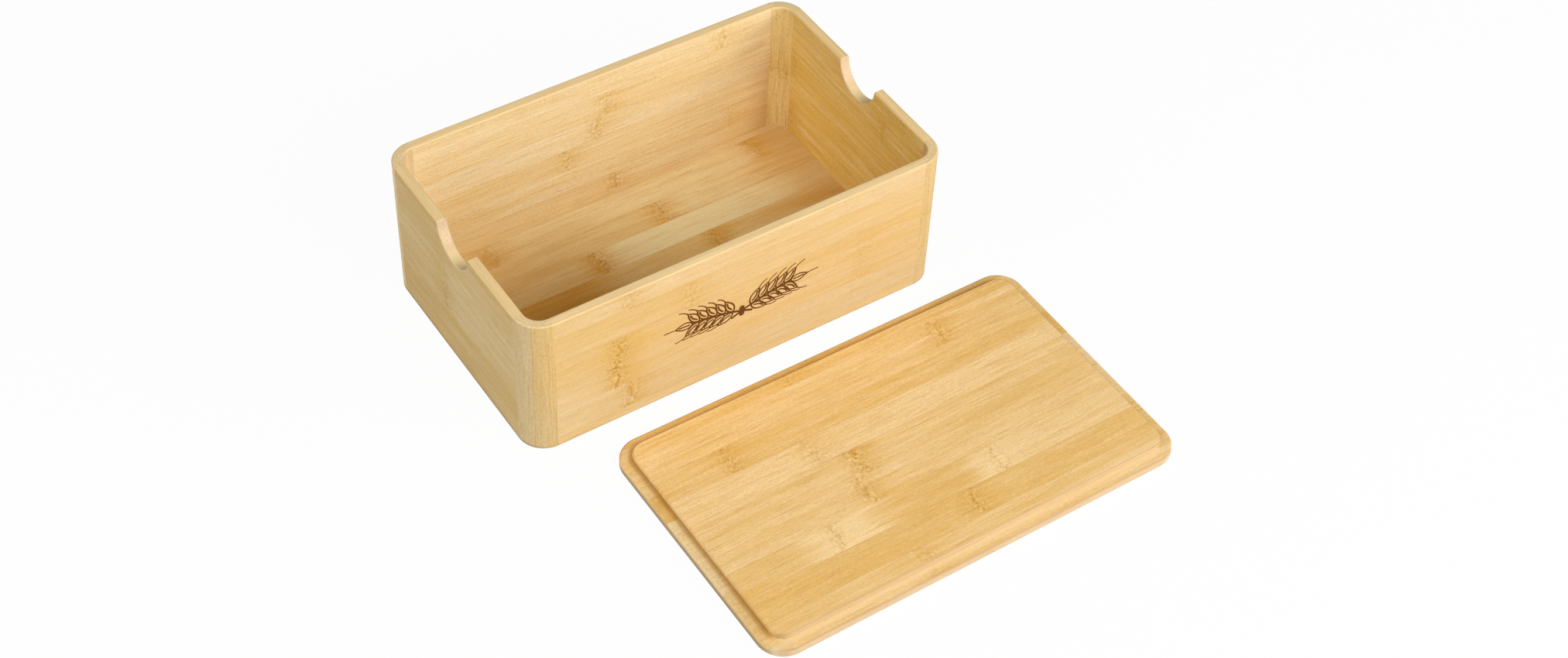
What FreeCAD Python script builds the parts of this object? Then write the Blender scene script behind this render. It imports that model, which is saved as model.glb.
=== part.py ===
"""Bamboo bread box whose lift-off lid is a bread board.

Four bamboo panels are joined by four rounded corner posts, tongue into groove, and a thin floor
is let into a rebate under the walls.  Each end panel has a half-round hand notch in its rim.
The lid is two glued boards: a lip board with the outline of the box, and a plug panel that drops
into the mouth of the box.  The lid lies upside down on the table in front of the box.

Frame: millimetres, +Z up, origin in the middle of the underside of the box.
+X runs along the box, and the front panel faces -Y.
"""

import FreeCAD, Part
import os
import Sketcher
from FreeCAD import Placement, Rotation, Vector

TOLERANCE = 1e-4
UP = Vector(0, 0, 1)

SIZES = {
    # the box, measured outside
    "box_length": 340,
    "box_width": 207,
    "box_height": 121,
    "wall_thickness": 8,
    # outer radius of a corner post, and so its reach along each wall
    "corner_radius": 20,
    # the tongue on each end of a panel, and the glue line round it
    "tongue_length": 4.8,
    "tongue_thickness": 2.6,
    "glue_line": 0.1,
    # the floor, and how far it reaches under each wall
    "floor_thickness": 4,
    "floor_bearing": 4,
    # the half-round hand notch in each end panel
    "notch_radius": 21.3,
    # rounding of the rim, and the bevels round each notch and at the foot of the walls
    "rim_round": 1.5,
    "notch_bevel": 0.6,
    "foot_bevel": 1,
    # the lid: the lip board and the plug panel under it
    "lip_thickness": 8,
    "lip_round": 2,
    "plug_height": 5,
    "plug_clearance": 1,
    "plug_round": 1.5,
    # where the lid lies: its clear distance in front of the box, and its offset to the right
    "lid_distance": 26,
    "lid_offset": 44,
}

# ends of the walls in the plan, written once for every piece that meets there
HALF_LENGTH = "sizes.box_length / 2"
HALF_WIDTH = "sizes.box_width / 2"
POST_X = "sizes.box_length / 2 - sizes.corner_radius"
POST_Y = "sizes.box_width / 2 - sizes.corner_radius"
INNER_RADIUS = "sizes.corner_radius - sizes.wall_thickness"

doc = FreeCAD.newDocument("bread_box")


def make_sheet():
    """The driving sizes, one alias to each."""
    sheet = doc.addObject("Spreadsheet::Sheet", "sizes")
    for row, (alias, value) in enumerate(SIZES.items(), 1):
        sheet.set(f"A{row}", alias)
        sheet.set(f"B{row}", str(value))
        sheet.setAlias(f"B{row}", alias)
    doc.recompute()
    return sheet


# ---------------------------------------------------------------- sketches and features


def new_body(node, turn=0, x="0", y="0", z="0"):
    """A body named after its node, turned about +Z and moved to its place."""
    body = doc.addObject("PartDesign::Body", node)
    body.Label = node
    body.Placement = Placement(Vector(), Rotation(UP, turn))
    for axis, expression in (("x", x), ("y", y), ("z", z)):
        body.setExpression(f"Placement.Base.{axis}", expression)
    return body


def new_sketch(body, name, role):
    """An empty sketch on one of the body's own origin planes."""
    sketch = body.newObject("Sketcher::SketchObject", name)
    plane = next(item for item in body.Origin.OriginFeatures if item.Role == role)
    sketch.AttachmentSupport = [(plane, "")]
    sketch.MapMode = "FlatFace"
    return sketch


def draw_rectangle(sketch, left, bottom, width, depth):
    """A rectangle whose four arguments are expressions on the sheet."""
    corners = [Vector(0, 0, 0), Vector(9, 0, 0), Vector(9, 9, 0), Vector(0, 9, 0)]
    for start, end in zip(corners, corners[1:] + corners[:1]):
        sketch.addGeometry(Part.LineSegment(start, end))
    for side in range(4):
        sketch.addConstraint(Sketcher.Constraint("Coincident", side, 2, (side + 1) % 4, 1))
    for side in (0, 2):
        sketch.addConstraint(Sketcher.Constraint("Horizontal", side))
    for side in (1, 3):
        sketch.addConstraint(Sketcher.Constraint("Vertical", side))
    drivers = (
        ("left", Sketcher.Constraint("DistanceX", -1, 1, 0, 1, 0), left),
        ("bottom", Sketcher.Constraint("DistanceY", -1, 1, 0, 1, 0), bottom),
        ("width", Sketcher.Constraint("DistanceX", 0, 1, 0, 2, 9), width),
        ("depth", Sketcher.Constraint("DistanceY", 1, 1, 1, 2, 9), depth),
    )
    for name, constraint, expression in drivers:
        index = sketch.addConstraint(constraint)
        sketch.renameConstraint(index, name)
        sketch.setExpression(f"Constraints.{name}", expression)


def draw_circle(sketch, height, radius):
    """A circle on the sketch's vertical axis."""
    sketch.addGeometry(Part.Circle(Vector(0, 9, 0), UP, 9))
    sketch.addConstraint(Sketcher.Constraint("PointOnObject", 0, 3, -2))
    drivers = (
        ("height", Sketcher.Constraint("DistanceY", -1, 1, 0, 3, 9), height),
        ("radius", Sketcher.Constraint("Radius", 0, 9), radius),
    )
    for name, constraint, expression in drivers:
        index = sketch.addConstraint(constraint)
        sketch.renameConstraint(index, name)
        sketch.setExpression(f"Constraints.{name}", expression)


def pad(body, name, sketch, length):
    """Raise a sketch into a solid."""
    feature = body.newObject("PartDesign::Pad", name)
    feature.Profile = sketch
    feature.setExpression("Length", length)
    sketch.Visibility = False
    doc.recompute()
    return feature


def pocket(body, name, sketch, length=None, reverse=False):
    """Sink a sketch into the solid, right through it when no length is given."""
    feature = body.newObject("PartDesign::Pocket", name)
    feature.Profile = sketch
    feature.Reversed = reverse
    if length is None:
        feature.Type = "ThroughAll"
    else:
        feature.setExpression("Length", length)
    before = feature.BaseFeature.Shape.Volume
    doc.recompute()
    if feature.Shape.Volume > before - TOLERANCE:
        raise RuntimeError(f"{body.Label}: {name} cuts nothing")
    return feature


def fillet(body, name, base, edges, radius):
    """Round some edges of a feature, given by their names."""
    feature = body.newObject("PartDesign::Fillet", name)
    feature.Base = (base, edges)
    feature.setExpression("Radius", radius)
    doc.recompute()
    return feature


def chamfer(body, name, base, edges, size):
    """Bevel some edges of a feature, given by their names."""
    feature = body.newObject("PartDesign::Chamfer", name)
    feature.Base = (base, edges)
    feature.setExpression("Size", size)
    doc.recompute()
    return feature


def edges_where(feature, wanted):
    """Names of the feature's edges that satisfy a test."""
    numbered = enumerate(feature.Shape.Edges, 1)
    return [f"Edge{number}" for number, edge in numbered if wanted(edge)]


def edges_of_cylinder(feature, radius):
    """Names of the edges round the feature's cylindrical faces of one radius."""
    wanted = []
    for face in feature.Shape.Faces:
        surface = face.Surface
        if isinstance(surface, Part.Cylinder) and abs(surface.Radius - radius) < TOLERANCE:
            wanted += face.Edges
    return edges_where(feature, lambda edge: any(edge.isSame(other) for other in wanted))


def lies_at(edge, axis, value):
    """Whether the whole edge has one coordinate equal to a value."""
    box = edge.BoundBox
    low, high = {
        "x": (box.XMin, box.XMax),
        "y": (box.YMin, box.YMax),
        "z": (box.ZMin, box.ZMax),
    }[axis]
    return abs(low - value) < TOLERANCE and abs(high - value) < TOLERANCE


# ---------------------------------------------------------------- the pieces


def make_panel(node, half_span, turn, x="0", y="0", notched=False):
    """A wall panel with a tongue at each end.

    In its own frame the panel runs along X, its outer face is y = 0 and its foot is z = 0.
    half_span is the distance from its middle to the shoulder at its end.
    """
    body = new_body(node, turn, x, y)

    board_plan = new_sketch(body, f"{node}_board_plan", "XY_Plane")
    draw_rectangle(
        board_plan,
        f"-({half_span})",
        "-sizes.wall_thickness",
        f"2 * ({half_span})",
        "sizes.wall_thickness",
    )
    pad(body, f"{node}_board", board_plan, "sizes.box_height")

    tongue_plan = new_sketch(body, f"{node}_tongue_plan", "XY_Plane")
    draw_rectangle(
        tongue_plan,
        f"-({half_span}) - sizes.tongue_length",
        "-(sizes.wall_thickness + sizes.tongue_thickness) / 2",
        f"2 * ({half_span} + sizes.tongue_length)",
        "sizes.tongue_thickness",
    )
    pad(body, f"{node}_tongues", tongue_plan, "sizes.box_height")

    rebate_plan = new_sketch(body, f"{node}_rebate_plan", "XY_Plane")
    draw_rectangle(
        rebate_plan,
        f"-({half_span}) - sizes.corner_radius",
        "-sizes.wall_thickness",
        f"2 * ({half_span} + sizes.corner_radius)",
        "sizes.floor_bearing",
    )
    rebated = pocket(body, f"{node}_floor_rebate", rebate_plan, "sizes.floor_thickness", reverse=True)

    wall = doc.sizes.wall_thickness
    height = doc.sizes.box_height

    def on_the_rim(edge):
        return lies_at(edge, "z", height) and (lies_at(edge, "y", 0) or lies_at(edge, "y", -wall))

    rim = fillet(body, f"{node}_rim_round", rebated, edges_where(rebated, on_the_rim), "sizes.rim_round")

    def at_the_foot(edge):
        return lies_at(edge, "y", 0) and lies_at(edge, "z", 0)

    foot = chamfer(body, f"{node}_foot_bevel", rim, edges_where(rim, at_the_foot), "sizes.foot_bevel")

    if notched:
        notch_outline = new_sketch(body, f"{node}_notch_outline", "XZ_Plane")
        draw_circle(notch_outline, "sizes.box_height", "sizes.notch_radius")
        notch = pocket(body, f"{node}_hand_notch", notch_outline, reverse=True)
        around = edges_of_cylinder(notch, doc.sizes.notch_radius)
        chamfer(body, f"{node}_notch_bevel", notch, around, "sizes.notch_bevel")
    return body


def make_corner_post(node, turn, x, y):
    """A quarter-round corner post with a groove in each end for a panel's tongue.

    In its own frame the post is the wall's section turned from +X to +Y about the corner's axis.
    """
    body = new_body(node, turn, x, y)

    section = new_sketch(body, f"{node}_section", "XZ_Plane")
    draw_rectangle(section, INNER_RADIUS, "0", "sizes.wall_thickness", "sizes.box_height")
    turned = body.newObject("PartDesign::Revolution", f"{node}_quarter_round")
    turned.Profile = section
    turned.ReferenceAxis = (section, ["V_Axis"])
    turned.Angle = 90
    doc.recompute()

    for end, plane in (("first", "XZ_Plane"), ("second", "YZ_Plane")):
        groove_outline = new_sketch(body, f"{node}_{end}_groove_outline", plane)
        draw_rectangle(
            groove_outline,
            f"{INNER_RADIUS} + (sizes.wall_thickness - sizes.tongue_thickness) / 2 - sizes.glue_line",
            "0",
            "sizes.tongue_thickness + 2 * sizes.glue_line",
            "sizes.box_height",
        )
        pocket(
            body,
            f"{node}_{end}_groove",
            groove_outline,
            "sizes.tongue_length + sizes.glue_line",
            reverse=plane == "YZ_Plane",
        )

    rebate_section = new_sketch(body, f"{node}_rebate_section", "XZ_Plane")
    draw_rectangle(rebate_section, INNER_RADIUS, "0", "sizes.floor_bearing", "sizes.floor_thickness")
    shaped = body.newObject("PartDesign::Groove", f"{node}_floor_rebate")
    shaped.Profile = rebate_section
    shaped.ReferenceAxis = (rebate_section, ["V_Axis"])
    shaped.Angle = 90
    before = shaped.BaseFeature.Shape.Volume
    doc.recompute()
    if shaped.Shape.Volume > before - TOLERANCE:
        raise RuntimeError(f"{node}: the floor rebate cuts nothing")

    height = doc.sizes.box_height

    def on_the_rim(edge):
        return lies_at(edge, "z", height) and isinstance(edge.Curve, Part.Circle)

    rim = fillet(body, f"{node}_rim_round", shaped, edges_where(shaped, on_the_rim), "sizes.rim_round")

    def at_the_foot(edge):
        if not (lies_at(edge, "z", 0) and isinstance(edge.Curve, Part.Circle)):
            return False
        return abs(edge.Curve.Radius - doc.sizes.corner_radius) < TOLERANCE

    chamfer(body, f"{node}_foot_bevel", rim, edges_where(rim, at_the_foot), "sizes.foot_bevel")
    return body


def make_rounded_board(node, length, width, thickness, corner, rounded=None, **place):
    """A flat board with rounded corners, centred on its own origin and standing on z = 0.

    rounded gives an expression for the radius of its long edges, and which faces carry it.
    """
    body = new_body(node, **place)
    outline = new_sketch(body, f"{node}_outline", "XY_Plane")
    draw_rectangle(outline, f"-({length}) / 2", f"-({width}) / 2", length, width)
    slab = pad(body, f"{node}_slab", outline, thickness)

    def upright(edge):
        return edge.BoundBox.ZLength > TOLERANCE

    shaped = fillet(body, f"{node}_corners", slab, edges_where(slab, upright), corner)
    if rounded:
        radius, faces = rounded
        top = shaped.Shape.BoundBox.ZMax
        heights = [{"top": top, "bottom": 0}[face] for face in faces]

        def on_a_rounded_face(edge):
            return any(lies_at(edge, "z", height) for height in heights)

        fillet(body, f"{node}_edge_round", shaped, edges_where(shaped, on_a_rounded_face), radius)
    return body


def make_box():
    """The walls, the corner posts and the floor."""
    pieces = [
        make_panel("front_panel", POST_X, 180, y=f"-{HALF_WIDTH}"),
        make_panel("back_panel", POST_X, 0, y=HALF_WIDTH),
        make_panel("left_panel", POST_Y, 90, x=f"-{HALF_LENGTH}", notched=True),
        make_panel("right_panel", POST_Y, -90, x=HALF_LENGTH, notched=True),
    ]
    corners = (
        ("back_right", 0, f"{POST_X}", f"{POST_Y}"),
        ("back_left", 90, f"-({POST_X})", f"{POST_Y}"),
        ("front_left", 180, f"-({POST_X})", f"-({POST_Y})"),
        ("front_right", 270, f"{POST_X}", f"-({POST_Y})"),
    )
    for corner, turn, x, y in corners:
        pieces.append(make_corner_post(f"corner_post_{corner}", turn, x, y))

    margin = "2 * (sizes.wall_thickness - sizes.floor_bearing + sizes.glue_line)"
    pieces.append(
        make_rounded_board(
            "floor_panel",
            f"sizes.box_length - {margin}",
            f"sizes.box_width - {margin}",
            "sizes.floor_thickness",
            f"{INNER_RADIUS} + sizes.floor_bearing - sizes.glue_line",
        )
    )
    return pieces


def make_lid():
    """The lip board and the plug panel, upside down in front of the box."""
    place = {"x": "sizes.lid_offset", "y": "-sizes.box_width - sizes.lid_distance"}
    margin = "2 * (sizes.wall_thickness + sizes.plug_clearance)"
    lip = make_rounded_board(
        "lid_lip_board",
        "sizes.box_length",
        "sizes.box_width",
        "sizes.lip_thickness",
        "sizes.corner_radius",
        rounded=("sizes.lip_round", ("top", "bottom")),
        **place,
    )
    plug = make_rounded_board(
        "lid_plug_panel",
        f"sizes.box_length - {margin}",
        f"sizes.box_width - {margin}",
        "sizes.plug_height",
        f"{INNER_RADIUS} - sizes.plug_clearance",
        rounded=("sizes.plug_round", ("top",)),
        z="sizes.lip_thickness",
        **place,
    )
    return [lip, plug]


# ---------------------------------------------------------------- build, check and write


def check(pieces):
    """Stop when any object failed or any piece isn't one valid solid."""
    for item in doc.Objects:
        if "Invalid" in item.State or "Error" in item.State:
            raise RuntimeError(f"{item.Name} failed: {item.State}")
    for piece in pieces:
        shape = piece.Shape
        if shape.isNull() or not shape.isValid() or len(shape.Solids) != 1:
            raise RuntimeError(f"{piece.Label} is not one valid solid")


def write(pieces):
    """One STEP file to each piece, named after it."""
    os.makedirs("parts", exist_ok=True)
    for piece in pieces:
        piece.Shape.exportStep(f"parts/{piece.Label}.step")
        box = piece.Shape.BoundBox
        print(
            f"{piece.Label:26s} {piece.Shape.Volume / 1000:8.1f} cm3",
            f"x {box.XMin:7.1f} {box.XMax:7.1f}  y {box.YMin:7.1f} {box.YMax:7.1f}",
            f" z {box.ZMin:6.1f} {box.ZMax:6.1f}",
        )


make_sheet()
all_pieces = make_box() + make_lid()
doc.recompute()
check(all_pieces)
write(all_pieces)
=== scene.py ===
# %% [markdown]
# # A bamboo bread box and its board lid
# The real object is joinery: four glued-up bamboo panels, four rounded corner posts, a thin floor,
# and a stepped lid that doubles as a bread board. It lies open, with the lid upside down in front.
# The solids come from the CAD frame at their real size, so this lesson is about two things: the
# finish of laminated bamboo, and the motif burnt into the front panel.

# %% Load the frame
import math

import bpy
import numpy as np
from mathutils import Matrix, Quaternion, Vector


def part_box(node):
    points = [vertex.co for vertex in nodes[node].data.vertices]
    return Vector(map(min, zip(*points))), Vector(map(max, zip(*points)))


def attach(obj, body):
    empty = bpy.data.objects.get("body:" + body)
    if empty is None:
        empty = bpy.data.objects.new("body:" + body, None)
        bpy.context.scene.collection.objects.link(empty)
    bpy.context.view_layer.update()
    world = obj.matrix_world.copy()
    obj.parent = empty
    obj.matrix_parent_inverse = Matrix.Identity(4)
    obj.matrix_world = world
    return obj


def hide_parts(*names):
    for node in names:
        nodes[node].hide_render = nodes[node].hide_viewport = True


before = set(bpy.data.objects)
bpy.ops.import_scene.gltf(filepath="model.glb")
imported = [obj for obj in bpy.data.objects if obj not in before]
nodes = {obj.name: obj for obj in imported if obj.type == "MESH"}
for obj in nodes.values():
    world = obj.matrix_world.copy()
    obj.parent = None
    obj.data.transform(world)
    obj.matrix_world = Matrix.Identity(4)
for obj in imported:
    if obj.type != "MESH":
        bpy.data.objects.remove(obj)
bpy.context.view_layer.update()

MM = 0.001

# %% [markdown]
# ## Sizes
# Everything that is drawn on the box follows its own sizes, so they are read from the frame once.
# The few that can't be read from a node's corners are the joiner's own: the reach of a corner post,
# the tongue on a panel's end, the rounding of the rim.

# %% Sizes of the box, in millimetres
def corners_of(node):
    """The low and the high corner of a CAD node, in millimetres."""
    return [np.array(corner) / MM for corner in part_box(node)]


front_low, front_high = corners_of("front_panel")
lid_low, lid_high = corners_of("lid_lip_board")
plug_low, plug_high = corners_of("lid_plug_panel")

HALF_LENGTH = corners_of("right_panel")[1][0]
HALF_WIDTH = -front_low[1]
HEIGHT = front_high[2]
WALL = front_high[1] - front_low[1]
FLOOR = corners_of("floor_panel")[1][2]
CORNER_RADIUS = 20.0
TONGUE_LENGTH = front_high[0] - (HALF_LENGTH - CORNER_RADIUS)
TONGUE_THICKNESS = 2.6
RIM_ROUND = 1.5
FOOT_BEVEL = 1.0
FLOOR_BEARING = 4.0
PLUG_RADIUS = 11.0
plug_middle = (plug_low + plug_high) / 2
plug_half = (plug_high - plug_low) / 2
LIP_TOP = plug_low[2]
print("box", 2 * HALF_LENGTH, "x", 2 * HALF_WIDTH, "x", HEIGHT)
print("wall", WALL, " tongue", TONGUE_LENGTH)

# %% [markdown]
# ## Shader maths as expressions
# A procedural finish is arithmetic on sockets. Wiring dozens of Math nodes by hand hides the idea,
# so a small class wraps an output socket and turns `a * 2 + b` into the nodes that compute it.
# Every other kind of node comes from one method, `add`, which applies the settings first and then
# fills the sockets.


# %% A socket with operators
class Wire:
    """One output socket. + - * / on wires add Math nodes and give a new wire."""

    def __init__(self, graph, socket):
        self.graph = graph
        self.socket = socket

    def __add__(self, other):
        return self.graph.maths("ADD", self, other)

    def __radd__(self, other):
        return self.graph.maths("ADD", other, self)

    def __sub__(self, other):
        return self.graph.maths("SUBTRACT", self, other)

    def __rsub__(self, other):
        return self.graph.maths("SUBTRACT", other, self)

    def __mul__(self, other):
        return self.graph.maths("MULTIPLY", self, other)

    def __rmul__(self, other):
        return self.graph.maths("MULTIPLY", other, self)

    def __truediv__(self, other):
        return self.graph.maths("DIVIDE", self, other)

    def __rtruediv__(self, other):
        return self.graph.maths("DIVIDE", other, self)

    def __neg__(self):
        return self.graph.maths("MULTIPLY", self, -1.0)


# %% A material as a graph
class Graph:
    """The node tree of one material or world."""

    def __init__(self, owner):
        owner.use_nodes = True
        self.tree = owner.node_tree
        self.tree.nodes.clear()

    def add(self, kind, settings=None, sockets=None):
        """A node of any kind: settings are set first, then values or wires go into its sockets."""
        node = self.tree.nodes.new(kind)
        for name, value in (settings or {}).items():
            if name == "stops":
                self.set_stops(node.color_ramp, value)
            else:
                setattr(node, name, value)
        for name, value in (sockets or {}).items():
            if isinstance(value, Wire):
                self.tree.links.new(value.socket, node.inputs[name])
            else:
                node.inputs[name].default_value = value
        return node

    def set_stops(self, ramp, stops):
        """Stops of a ramp that steps: each is (place, colour)."""
        ramp.interpolation = "CONSTANT"
        while len(ramp.elements) < len(stops):
            ramp.elements.new(1.0)
        for element, (place, colour) in zip(ramp.elements, stops):
            element.position = place
            element.color = colour

    def out(self, node, name=0):
        return Wire(self, node.outputs[name])

    def maths(self, operation, first, second=0.0):
        """One Math node."""
        settings = {"operation": operation}
        return self.out(self.add("ShaderNodeMath", settings, {0: first, 1: second}))

    def dot(self, vector, direction):
        """The length of a vector along a direction."""
        settings = {"operation": "DOT_PRODUCT"}
        node = self.add("ShaderNodeVectorMath", settings, {0: vector, 1: direction})
        return self.out(node, "Value")

    def facing(self, axis):
        """How squarely the surface faces along an axis, either way: 0 to 1."""
        normal = self.out(self.add("ShaderNodeNewGeometry"), "Normal")
        return self.maths("ABSOLUTE", self.dot(normal, axis))

    def noise(self, x, y, z, detail=1.0, roughness=0.5):
        """Smooth noise between 0 and 1 with a mean of 0.5, at a point given by three numbers."""
        place = self.out(self.add("ShaderNodeCombineXYZ", {}, {0: x, 1: y, 2: z}))
        sockets = {"Vector": place, "Scale": 1.0, "Detail": detail, "Roughness": roughness}
        return self.out(self.add("ShaderNodeTexNoise", {"noise_dimensions": "3D"}, sockets))

    def step(self, value, low, high):
        """0 below low, 1 above high, and a smooth rise between."""
        settings = {"interpolation_type": "SMOOTHSTEP"}
        sockets = {"Value": value, "From Min": low, "From Max": high}
        return self.out(self.add("ShaderNodeMapRange", settings, sockets))

    def bell(self, distance, width):
        """exp(-(distance / width) squared): 1 on the line, 0 far from it."""
        ratio = distance / width
        return self.maths("EXPONENT", -(ratio * ratio))

    def mix(self, factor, first, second):
        """A blend of two colours."""
        settings = {"data_type": "RGBA", "clamp_factor": True}
        return self.out(self.add("ShaderNodeMix", settings, {0: factor, 6: first, 7: second}), 2)

    def shade(self, colour, change):
        """A colour made lighter or darker by a share. Wood darkens warm: red changes least."""
        parts = {0: 1 + change * 0.65, 1: 1 + change, 2: 1 + change * 1.25}
        factor = self.out(self.add("ShaderNodeCombineXYZ", {}, parts))
        settings = {"data_type": "RGBA", "blend_type": "MULTIPLY"}
        return self.out(self.add("ShaderNodeMix", settings, {0: 1.0, 6: colour, 7: factor}), 2)


# %% [markdown]
# ## Laminated bamboo
# A bamboo board is glued up from strips that were split from the cane. Three things make it read as
# bamboo and not as wood. The strips are straight, all of one width, and each has its own tone. The
# fibres run dead straight along a strip, fine as hair, dark ones among pale ones. And every strip
# crosses a knuckle or two, the joints of the cane: a short mottled band where the fibres knot.
#
# It could be drawn from tiled images, but here all of it is one function of the point in space, so
# the pattern runs through the board and shows as fibre ends on a sawn end, as on the real thing.
# Lengths are in millimetres. Stepped ramps hold each strip's own values in their channels: one ramp
# its tones, one the places of its knuckles, one their strengths.
#
# A stock is the golden and the pale tone that a board's strips lie between. Dark fibres and
# knuckles are written as shares of the golden one, so that they stay darker than their own board.


# %% The golden and the pale tone of each stock
LID_STOCK = ((0.814, 0.500, 0.155, 1.0), (0.920, 0.648, 0.316, 1.0))
LIP_STOCK = ((0.800, 0.500, 0.158, 1.0), (0.900, 0.672, 0.352, 1.0))
FRONT_STOCK = ((0.690, 0.445, 0.150, 1.0), (0.735, 0.560, 0.330, 1.0))
LEFT_STOCK = ((0.570, 0.368, 0.105, 1.0), (0.660, 0.490, 0.240, 1.0))
# The right stock is matched to the wall's inner face in shade, so it carries a painted shade.
RIGHT_STOCK = ((0.740, 0.478, 0.115, 1.0), (0.830, 0.625, 0.270, 1.0))
BACK_STOCK = ((0.860, 0.590, 0.215, 1.0), (0.935, 0.745, 0.440, 1.0))
FLOOR_STOCK = ((0.770, 0.420, 0.076, 1.0), (0.985, 0.810, 0.465, 1.0))

# %% Sawn edges, and sawn ends with how squarely a face looks along the strips
RIM = (0.985, 0.710, 0.350, 1.0)
LID_EDGE = (0.660, 0.480, 0.280, 1.0)
PLUG_EDGE = (0.565, 0.400, 0.205, 1.0)
NOTCH_FACE = ((0.765, 0.555, 0.350, 1.0), 0.08, 0.35)
POST_TOP = ((0.900, 0.670, 0.345, 1.0), 0.50, 0.90)
LIP_END = ((0.620, 0.440, 0.215, 1.0), 0.90, 1.00)

# %% Dark fibres and knuckles, as shares of the golden tone
KNUCKLE = (0.70, 0.54, 0.15, 1.0)
FIBRE = (0.79, 0.67, 0.45, 1.0)
NOWHERE = 5.0  # a knuckle so many half lengths away is off the board


# %% What the ramps hold for each strip
def strip_ramps(strips, low, high):
    """Stops of three ramps for a board: tones, knuckle places, knuckle strengths.

    A strip reads tone, knuckle, tone, knuckle, tone; shorter ones keep their last tone to the end.
    A knuckle is (place, strength) or (place, strength, 1) where the bamboo beside it has bleached.
    """
    tones, places, strengths = [], [], []
    for number, strip in enumerate(strips):
        own_tones = [float(value) for value in strip[::2]]
        own_tones = (own_tones + own_tones[-1:] * 2)[:3]
        knuckles = [(*knuckle, 0)[:3] for knuckle in strip[1::2]]
        knuckles = (knuckles + [(NOWHERE * high, 0, 0)] * 2)[:2]
        where = [(place - low) / (high - low) for place, strength, bleached in knuckles]
        strong = [float(strength) for place, strength, bleached in knuckles]
        bleached = float(max(knuckle[2] for knuckle in knuckles))
        stop = number / len(strips)
        tones.append((stop, (*own_tones, 1.0)))
        places.append((stop, (*where, 0.0, 1.0)))
        strengths.append((stop, (*strong, bleached, 1.0)))
    return tones, places, strengths


# %% The make-up of a knuckle: reaches in millimetres, strengths as shares
BAND_REACH, RIDGE_REACH, NEAR_REACH = 8.0, 0.9, 16.0
WANDER, RAGGED = 10.0, 5.0
DARK_FLECKS, DARK_GROUND, DARK_RIDGE = 0.42, 0.09, 0.25
GOLDEN_SHIFT, GOLDEN_REACH, GOLDEN_HALO = 4.0, 14.0, 0.32
BLEACHED_HALO = 1.60
BLEACHED_PATCHES = ((6.0, 28.0), (-5.0, 15.0))  # shift and reach, for the first and the second
QUICK_CHANGE, SLOW_CHANGE, QUICKENING = 5.0, 24.0, 40.0


# %% Knuckles
def knuckles_of(graph, along, across, depth, row, channels, low, high):
    """Masks of a strip's two knuckles: dark flecks, light flecks, halo, tone and nearness.

    Each mask is a bell over the distance from the knuckle, whose line wanders a few millimetres,
    times a threshold of noise. A thin ridge, broken in places, runs along the middle. The halo is
    golden bamboo beside the knuckle, or a bleached patch. The tone changes at the knuckle, fast
    where it is strong.
    """
    tones, places, strengths = channels
    mottle = graph.noise(along * 0.40, across * 0.36, depth * 0.36, detail=3.0, roughness=0.72)
    wander = (graph.noise(across * 0.14, row * 7.3, depth * 0.05, detail=2.0) - 0.5) * WANDER
    ragged = (graph.noise(along * 0.9, across * 0.5, row * 3.1, detail=2.0) - 0.5) * RAGGED
    dark_flecks = graph.step(mottle, 0.49, 0.65)
    light_flecks = 1 - graph.step(mottle, 0.36, 0.47)
    broken = graph.step(mottle, 0.40, 0.55)
    bleached = strengths["Blue"]
    dark, light, halo, near, tone = 0.0, 0.0, 0.0, 0.0, tones["Red"]
    for own, after, (shift, reach) in zip(("Red", "Green"), ("Green", "Blue"), BLEACHED_PATCHES):
        strength = strengths[own]
        distance = along - (places[own] * (high - low) + low) + wander
        band = graph.bell(distance, BAND_REACH) * strength
        ridge = graph.bell(distance + ragged, RIDGE_REACH) * strength
        dark = dark + band * (dark_flecks * DARK_FLECKS + DARK_GROUND) + ridge * broken * DARK_RIDGE
        light = light + band * light_flecks
        near = near + graph.bell(distance, NEAR_REACH) * strength
        golden = graph.bell(distance - GOLDEN_SHIFT, GOLDEN_REACH) * (bleached - 1) * GOLDEN_HALO
        pale = graph.bell(distance - shift, reach) * bleached * BLEACHED_HALO
        halo = halo + (golden + pale) * strength
        change = graph.maths("MAXIMUM", SLOW_CHANGE - strength * QUICKENING, QUICK_CHANGE)
        tone = tone + (tones[after] - tones[own]) * graph.step(distance, -change, change)
    return dark, light, halo, tone, near


# %% How strongly each part of the grain shows
CLOUDS, STREAKS = 1.1, 1.0  # broad changes of tone
FIBRE_RIPPLE, FINE_RIPPLE, PORE_RIPPLE = 0.27, 0.12, 0.36  # changes of lightness
HAIRS = 0.26  # the share of single dark fibres
FLECK_TONE, FLECK_LIGHT, HALO_LIGHT = 0.30, 0.15, 0.04
JOINT_LOW, JOINT_HIGH = 0.35, 0.05  # the glue line, from a strip's edge
ROW_ALONG, ROW_DEPTH = 173.0, 31.0  # shifts from strip to strip, so that no two look alike
DRIFT, WAVER, WAVER_AT_KNUCKLE = 4.0, 0.7, 2.0  # how far a line of fibres strays
ROUGHNESS, FIBRE_ROUGHNESS, KNUCKLE_ROUGHNESS = 0.56, 0.20, 0.10


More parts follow.
